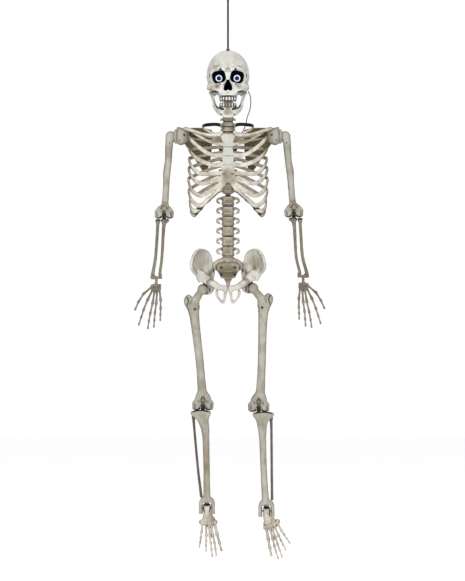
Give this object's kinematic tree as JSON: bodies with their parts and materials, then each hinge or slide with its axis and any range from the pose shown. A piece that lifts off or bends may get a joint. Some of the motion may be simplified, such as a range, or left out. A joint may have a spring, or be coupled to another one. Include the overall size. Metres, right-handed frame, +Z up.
{
  "type": "poseable hanging skeleton figure",
  "caption": "Poseable life-like skeleton prop that hangs from a cord in its skull, with jointed jaw, limbs, waist and glowing eyes.",
  "frame": {"origin": "the point inside the hook at the top of the cord where the figure hangs", "axes": "+Z up along the hanging cord; the figure faces -Y; its own left side is at +X"},
  "size_m": [0.5717, 0.1629, 1.6902],
  "materials": {
    "skull_bone": "matte, aged ivory with olive wash in the recesses",
    "bone": "matte, aged bone with brown wash",
    "shaded_bone": "matte, heavy olive-brown wash",
    "socket_black": "matte black",
    "eye_lens": "glowing pale blue ring around a dark navy centre",
    "steel_pin": "plain steel",
    "hook_metal": "black lacquered wire",
    "black_plastic": "matte black",
    "black_cord": "black braided cord",
    "black_wire": "satin black insulation",
    "switch_plastic": "matte grey",
    "battery_jacket": "plain printed sleeve",
    "hub_plastic": "matte olive-brown"
  },
  "bodies": {
    "head": {"skull_front": "skull_bone", "skull_back": "skull_bone", "right_eye_cup": "socket_black", "left_eye_cup": "socket_black", "right_eye_lens": "eye_lens", "left_eye_lens": "eye_lens", "right_eye_led": "eye_lens", "left_eye_led": "eye_lens", "right_jaw_pin": "steel_pin", "left_jaw_pin": "steel_pin", "hanging_eyelet": "black_plastic", "hanging_cord": "black_cord", "hanging_hook": "hook_metal", "led_wire_upper": "black_wire"},
    "jaw": {"jaw": "skull_bone"},
    "torso": {"neck_spine": "bone", "rib_cage_front": "bone", "rib_cage_back": "shaded_bone", "right_scapula": "shaded_bone", "left_scapula": "shaded_bone", "right_clavicle": "bone", "left_clavicle": "bone", "battery_box": "black_plastic", "battery_door": "black_plastic", "battery_door_screw": "steel_pin", "battery_1": "battery_jacket", "battery_2": "battery_jacket", "led_wire_lower": "black_wire"},
    "switch": {"power_switch": "switch_plastic"},
    "pelvis": {"lumbar_spine": "shaded_bone", "sacrum": "shaded_bone", "right_hip_bone": "bone", "left_hip_bone": "bone"},
    "right_shoulder": {"right_shoulder_hub": "hub_plastic"},
    "right_upper_arm": {"right_humerus": "bone", "right_elbow_pin": "steel_pin"},
    "right_forearm": {"right_radius": "bone", "right_ulna": "bone"},
    "right_wrist": {"right_hand": "bone"},
    "right_hip": {"right_hip_hub": "hub_plastic"},
    "right_thigh": {"right_femur": "bone", "right_knee_pin": "steel_pin"},
    "right_shin": {"right_tibia": "bone", "right_fibula": "bone", "right_ankle_pin": "steel_pin"},
    "right_ankle": {"right_foot": "bone"},
    "left_shoulder": {"left_shoulder_hub": "hub_plastic"},
    "left_upper_arm": {"left_humerus": "bone", "left_elbow_pin": "steel_pin"},
    "left_forearm": {"left_radius": "bone", "left_ulna": "bone"},
    "left_wrist": {"left_hand": "bone"},
    "left_hip": {"left_hip_hub": "hub_plastic"},
    "left_thigh": {"left_femur": "bone", "left_knee_pin": "steel_pin"},
    "left_shin": {"left_tibia": "bone", "left_fibula": "bone", "left_ankle_pin": "steel_pin"},
    "left_ankle": {"left_foot": "bone"}
  },
  "joints": [
    {"name": "jaw_open", "type": "hinge", "parent": "head", "child": "jaw", "pos_m": [0, 0.008, -0.296], "axis": [1, 0, 0], "range_deg": [-2, 16]},
    {"name": "head_turn", "type": "hinge", "parent": "head", "child": "torso", "pos_m": [0, 0.022, -0.318], "axis": [0, 0, 1], "range_deg": [-45, 45]},
    {"name": "switch_slide", "type": "slide", "parent": "torso", "child": "switch", "axis": [1, 0, 0], "range_m": [0, 0.007]},
    {"name": "waist_turn", "type": "hinge", "parent": "torso", "child": "pelvis", "pos_m": [0, 0.04, -0.604], "axis": [0, 0, 1], "range_deg": [-40, 40]},
    {"name": "right_shoulder_swing", "type": "hinge", "parent": "torso", "child": "right_shoulder", "pos_m": [-0.171, 0.008, -0.426], "axis": [-1, 0, 0], "range_deg": [-45, 170]},
    {"name": "right_shoulder_raise", "type": "hinge", "parent": "right_shoulder", "child": "right_upper_arm", "pos_m": [-0.171, 0.008, -0.426], "axis": [0, 1, 0], "range_deg": [0, 90]},
    {"name": "right_elbow_bend", "type": "hinge", "parent": "right_upper_arm", "child": "right_forearm", "pos_m": [-0.191, 0.006, -0.66], "axis": [-1, 0, 0], "range_deg": [0, 110]},
    {"name": "right_wrist_turn", "type": "hinge", "parent": "right_forearm", "child": "right_wrist", "pos_m": [-0.2145, 0.002, -0.853], "axis": [0, 0, 1], "range_deg": [-90, 90]},
    {"name": "right_hip_swing", "type": "hinge", "parent": "pelvis", "child": "right_hip", "pos_m": [-0.0754, 0.008, -0.884], "axis": [-1, 0, 0], "range_deg": [-25, 95]},
    {"name": "right_hip_spread", "type": "hinge", "parent": "right_hip", "child": "right_thigh", "pos_m": [-0.0754, 0.008, -0.884], "axis": [0, 1, 0], "range_deg": [-3, 35]},
    {"name": "right_knee_bend", "type": "hinge", "parent": "right_thigh", "child": "right_shin", "pos_m": [-0.075, 0.002, -1.232], "axis": [1, 0, 0], "range_deg": [0, 110]},
    {"name": "right_ankle_bend", "type": "hinge", "parent": "right_shin", "child": "right_ankle", "pos_m": [-0.063, 0.008, -1.538], "axis": [-1, 0, 0], "range_deg": [-8, 70]},
    {"name": "left_shoulder_swing", "type": "hinge", "parent": "torso", "child": "left_shoulder", "pos_m": [0.171, 0.008, -0.426], "axis": [-1, 0, 0], "range_deg": [-45, 170]},
    {"name": "left_shoulder_raise", "type": "hinge", "parent": "left_shoulder", "child": "left_upper_arm", "pos_m": [0.171, 0.008, -0.426], "axis": [0, -1, 0], "range_deg": [0, 90]},
    {"name": "left_elbow_bend", "type": "hinge", "parent": "left_upper_arm", "child": "left_forearm", "pos_m": [0.197, 0.006, -0.656], "axis": [-1, 0, 0], "range_deg": [0, 110]},
    {"name": "left_wrist_turn", "type": "hinge", "parent": "left_forearm", "child": "left_wrist", "pos_m": [0.225, 0.002, -0.849], "axis": [0, 0, 1], "range_deg": [-90, 90]},
    {"name": "left_hip_swing", "type": "hinge", "parent": "pelvis", "child": "left_hip", "pos_m": [0.0745, 0.008, -0.88], "axis": [-1, 0, 0], "range_deg": [-25, 95]},
    {"name": "left_hip_spread", "type": "hinge", "parent": "left_hip", "child": "left_thigh", "pos_m": [0.0745, 0.008, -0.88], "axis": [0, -1, 0], "range_deg": [-3, 35]},
    {"name": "left_knee_bend", "type": "hinge", "parent": "left_thigh", "child": "left_shin", "pos_m": [0.092, 0.002, -1.237], "axis": [1, 0, 0], "range_deg": [0, 110]},
    {"name": "left_ankle_bend", "type": "hinge", "parent": "left_shin", "child": "left_ankle", "pos_m": [0.115, 0.008, -1.547], "axis": [-1, 0, 0], "range_deg": [-8, 70]}
  ]
}
